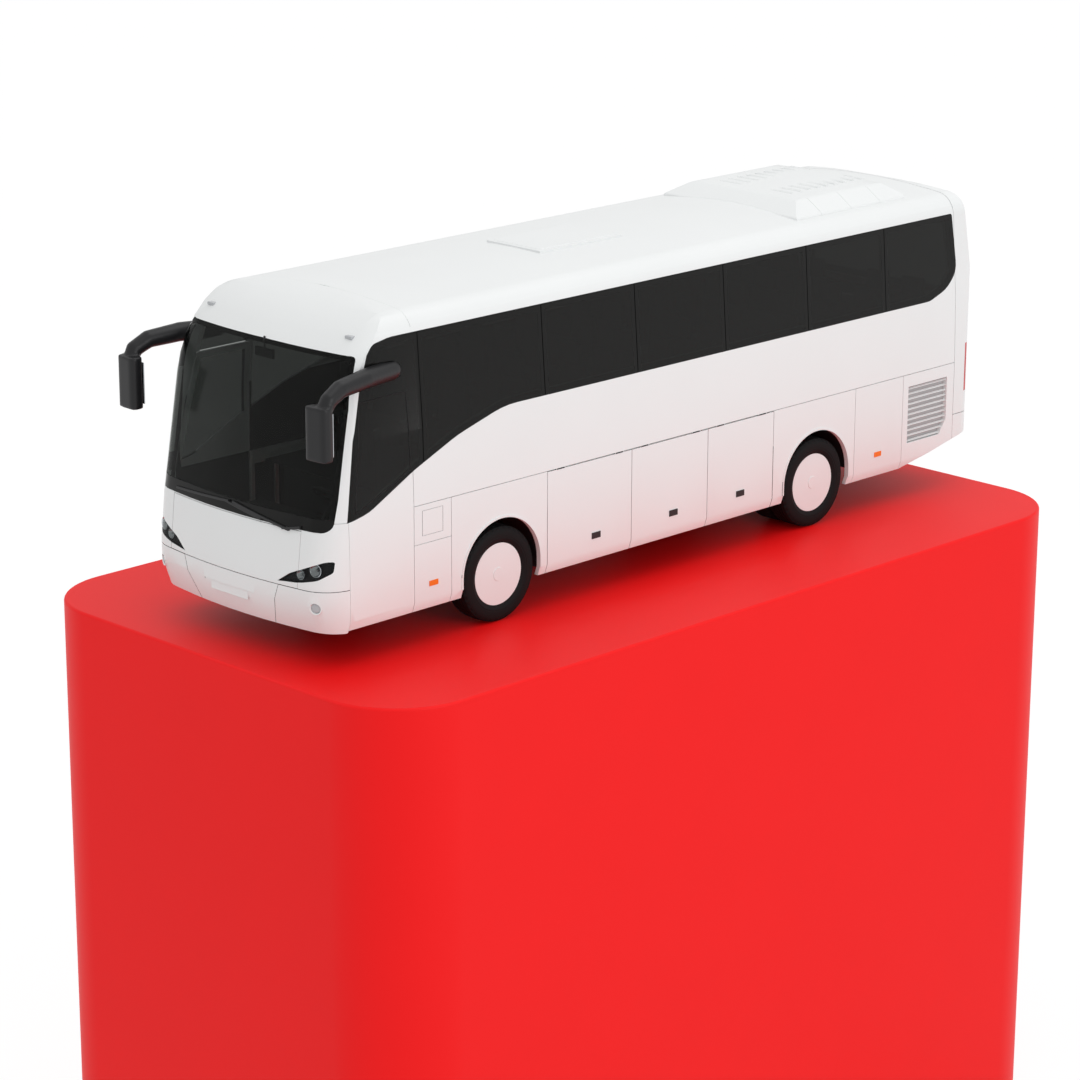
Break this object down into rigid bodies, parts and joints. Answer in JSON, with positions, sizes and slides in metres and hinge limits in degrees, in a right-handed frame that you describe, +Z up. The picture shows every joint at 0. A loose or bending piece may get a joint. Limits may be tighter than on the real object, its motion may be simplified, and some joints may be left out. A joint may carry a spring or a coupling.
{
  "type": "coach bus on a display plinth",
  "caption": "Single-deck coach with swept side windows, hinged luggage flaps, steered front wheels and twin rear wheels, standing on a tall round-cornered plinth.",
  "frame": {"origin": "centre of the plinth's foot", "axes": "+Z up, +Y towards the coach's rear, +X towards the coach's left side; the coach faces -Y"},
  "size_m": [5.24, 9.87, 10.0754],
  "materials": {
    "red_paint": "satin red laminate",
    "white_paint": "white coach paint",
    "frame_steel": "dark frame paint",
    "tinted_glass": "dark tinted glass",
    "tyre_rubber": "plain rubber",
    "black_plastic": "grained dark plastic",
    "lamp_clear": "clear lens over a dark reflector",
    "lamp_red": "red lens",
    "lamp_orange": "orange reflector",
    "cast_metal": "cast and forged steel",
    "floor_board": "dark floor covering on board",
    "seat_cloth": "dark cloth"
  },
  "bodies": {
    "coach_and_plinth": {"plinth": "red_paint", "chassis_frame": "frame_steel", "side_frame": "frame_steel", "passenger_floor": "floor_board", "cab_floor_steps": "floor_board", "luggage_floor": "floor_board", "wheel_housings": "black_plastic", "front_cap": "white_paint", "front_bumper": "white_paint", "scuttle_panel": "white_paint", "roof": "white_paint", "side_wall_left": "white_paint", "side_wall_right": "white_paint", "skirt_panels_left": "white_paint", "skirt_panels_right": "white_paint", "rear_cap": "white_paint", "rear_bumper": "white_paint", "engine_grilles": "white_paint", "windscreen": "tinted_glass", "side_glass_left": "tinted_glass", "side_glass_right": "tinted_glass", "rear_window": "tinted_glass", "mirrors": "black_plastic", "wipers": "black_plastic", "headlamps": "lamp_clear", "tail_lamps": "lamp_red", "side_markers": "lamp_orange", "roof_air_unit": "white_paint", "front_axle": "cast_metal", "rear_axle": "cast_metal", "engine": "cast_metal", "seats": "seat_cloth", "dashboard": "black_plastic"},
    "door": {"passenger_door": "white_paint", "door_glass": "tinted_glass"},
    "flap_left_1": {"luggage_flap_left_1": "white_paint"},
    "flap_left_2": {"luggage_flap_left_2": "white_paint"},
    "flap_left_3": {"luggage_flap_left_3": "white_paint"},
    "flap_right_1": {"luggage_flap_right_1": "white_paint"},
    "flap_right_2": {"luggage_flap_right_2": "white_paint"},
    "flap_right_3": {"luggage_flap_right_3": "white_paint"},
    "engine_lid": {"engine_lid": "white_paint"},
    "knuckle_left": {"knuckle_left": "cast_metal"},
    "knuckle_right": {"knuckle_right": "cast_metal"},
    "track_rod": {"track_rod": "cast_metal"},
    "wheel_front_left": {"tyre_front_left": "tyre_rubber", "wheel_front_left": "white_paint"},
    "wheel_front_right": {"tyre_front_right": "tyre_rubber", "wheel_front_right": "white_paint"},
    "wheels_rear_left": {"tyres_rear_left": "tyre_rubber", "wheels_rear_left": "white_paint"},
    "wheels_rear_right": {"tyres_rear_right": "tyre_rubber", "wheels_rear_right": "white_paint"}
  },
  "joints": [
    {"name": "steer_left", "type": "hinge", "parent": "coach_and_plinth", "child": "knuckle_left", "pos_m": [1.06, -2.265, 7.1703], "axis": [0, 0, 1], "range_deg": [-38, 38]},
    {"name": "steer_right", "type": "hinge", "parent": "coach_and_plinth", "child": "knuckle_right", "pos_m": [-1.06, -2.265, 7.1703], "axis": [0, 0, 1], "range_deg": [-38, 38]},
    {"name": "track_rod_eye", "type": "hinge", "parent": "knuckle_left", "child": "track_rod", "pos_m": [1.06, -2.115, 7.0663], "axis": [0, 0, 1], "range_deg": [-38, 38]},
    {"name": "front_left_spin", "type": "hinge", "parent": "knuckle_left", "child": "wheel_front_left", "pos_m": [1.107, -2.265, 7.1703], "axis": [1, 0, 0], "continuous": true},
    {"name": "front_right_spin", "type": "hinge", "parent": "knuckle_right", "child": "wheel_front_right", "pos_m": [-1.107, -2.265, 7.1703], "axis": [1, 0, 0], "continuous": true},
    {"name": "rear_left_spin", "type": "hinge", "parent": "coach_and_plinth", "child": "wheels_rear_left", "pos_m": [1.107, 2.305, 7.1703], "axis": [1, 0, 0], "continuous": true},
    {"name": "rear_right_spin", "type": "hinge", "parent": "coach_and_plinth", "child": "wheels_rear_right", "pos_m": [-1.107, 2.305, 7.1703], "axis": [1, 0, 0], "continuous": true},
    {"name": "door_hinge", "type": "hinge", "parent": "coach_and_plinth", "child": "door", "pos_m": [-1.264, -4.195, 8.1], "axis": [0, 0, 1], "range_deg": [0, 80]},
    {"name": "flap_left_1_hinge", "type": "hinge", "parent": "coach_and_plinth", "child": "flap_left_1", "pos_m": [1.268, -1.07, 8.072], "axis": [0, -1, 0], "range_deg": [0, 85]},
    {"name": "flap_left_2_hinge", "type": "hinge", "parent": "coach_and_plinth", "child": "flap_left_2", "pos_m": [1.268, 0.07, 8.072], "axis": [0, -1, 0], "range_deg": [0, 85]},
    {"name": "flap_left_3_hinge", "type": "hinge", "parent": "coach_and_plinth", "child": "flap_left_3", "pos_m": [1.268, 1.12, 8.072], "axis": [0, -1, 0], "range_deg": [0, 85]},
    {"name": "flap_right_1_hinge", "type": "hinge", "parent": "coach_and_plinth", "child": "flap_right_1", "pos_m": [-1.268, -1.07, 8.072], "axis": [0, 1, 0], "range_deg": [0, 85]},
    {"name": "flap_right_2_hinge", "type": "hinge", "parent": "coach_and_plinth", "child": "flap_right_2", "pos_m": [-1.268, 0.07, 8.072], "axis": [0, 1, 0], "range_deg": [0, 85]},
    {"name": "flap_right_3_hinge", "type": "hinge", "parent": "coach_and_plinth", "child": "flap_right_3", "pos_m": [-1.268, 1.12, 8.072], "axis": [0, 1, 0], "range_deg": [0, 85]},
    {"name": "engine_lid_hinge", "type": "hinge", "parent": "coach_and_plinth", "child": "engine_lid", "pos_m": [0, 4.862, 8.506], "axis": [1, 0, 0], "range_deg": [0, 80]}
  ],
  "couplings": [
    {"joint": "steer_right", "follows": "steer_left", "ratio": 1},
    {"joint": "track_rod_eye", "follows": "steer_left", "ratio": -1}
  ]
}
